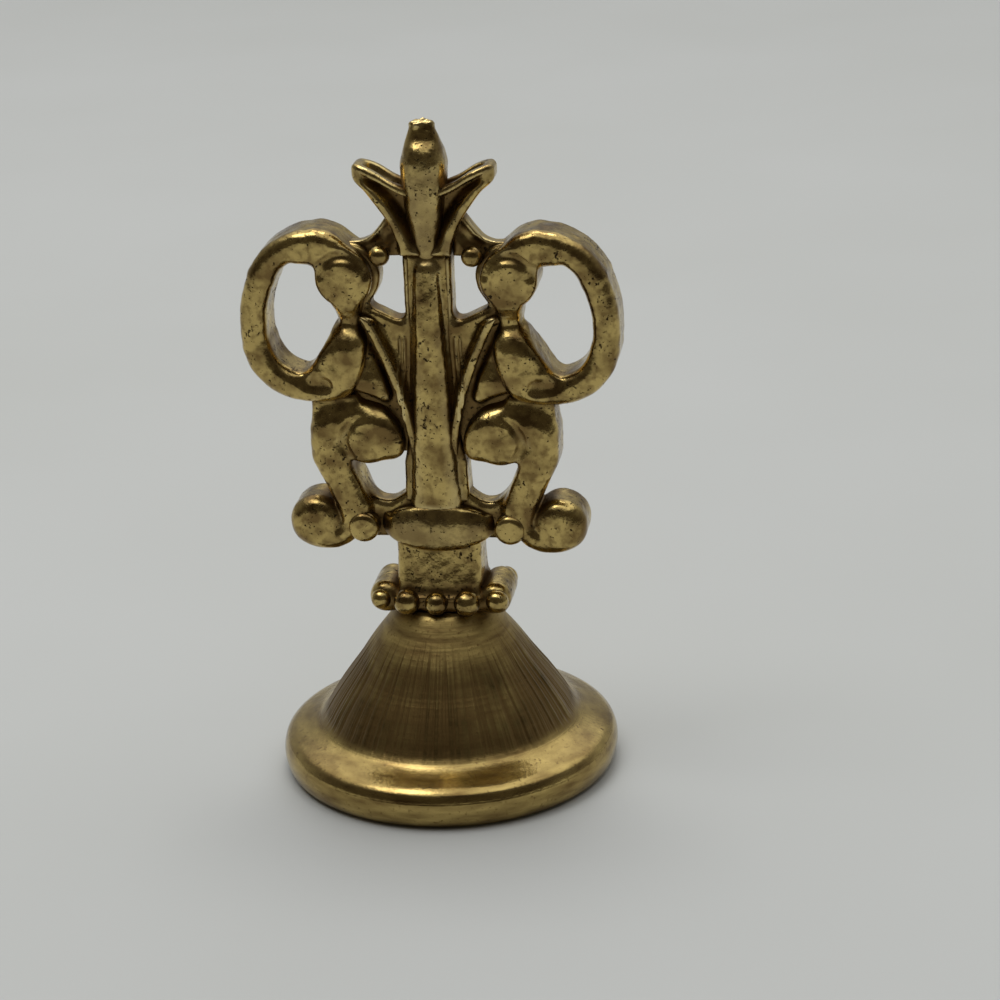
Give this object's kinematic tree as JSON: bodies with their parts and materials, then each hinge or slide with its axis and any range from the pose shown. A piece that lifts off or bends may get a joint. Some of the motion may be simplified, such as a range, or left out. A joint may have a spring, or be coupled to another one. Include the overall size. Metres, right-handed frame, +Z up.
{
  "type": "wax seal stamp",
  "caption": "Hand stamp for sealing wax: openwork scroll handle with leaves and a bud finial, on a beaded collar and a round bell foot that holds the engraved seal die.",
  "frame": {"origin": "middle of the rim's resting face, on the table", "axes": "+Z up through the finial, front of the handle towards -Y, +X to the viewer's right"},
  "size_m": [0.0278, 0.0254, 0.0499],
  "materials": {
    "antique_gold": "worn gilt casting, dark in the hollows",
    "brushed_bell": "fine lines down the bell, polished rim",
    "die_brass": "machined and engraved",
    "screw_steel": "turned"
  },
  "bodies": {
    "root": {"bell_foot": "brushed_bell", "seal_die": "die_brass", "tie_screw": "screw_steel", "washer": "screw_steel", "bead_collar": "antique_gold", "collar_beads": "antique_gold", "neck_block": "antique_gold", "band_collar": "antique_gold", "band_beads": "antique_gold", "stem": "antique_gold", "left_leaf": "antique_gold", "right_leaf": "antique_gold", "left_c_scroll": "antique_gold", "right_c_scroll": "antique_gold", "left_s_scroll": "antique_gold", "right_s_scroll": "antique_gold", "left_pad": "antique_gold", "right_pad": "antique_gold", "left_web": "antique_gold", "right_web": "antique_gold", "finial_bud": "antique_gold", "left_petal": "antique_gold", "right_petal": "antique_gold", "petal_beads": "antique_gold", "left_link": "antique_gold", "right_link": "antique_gold"}
  },
  "joints": []
}
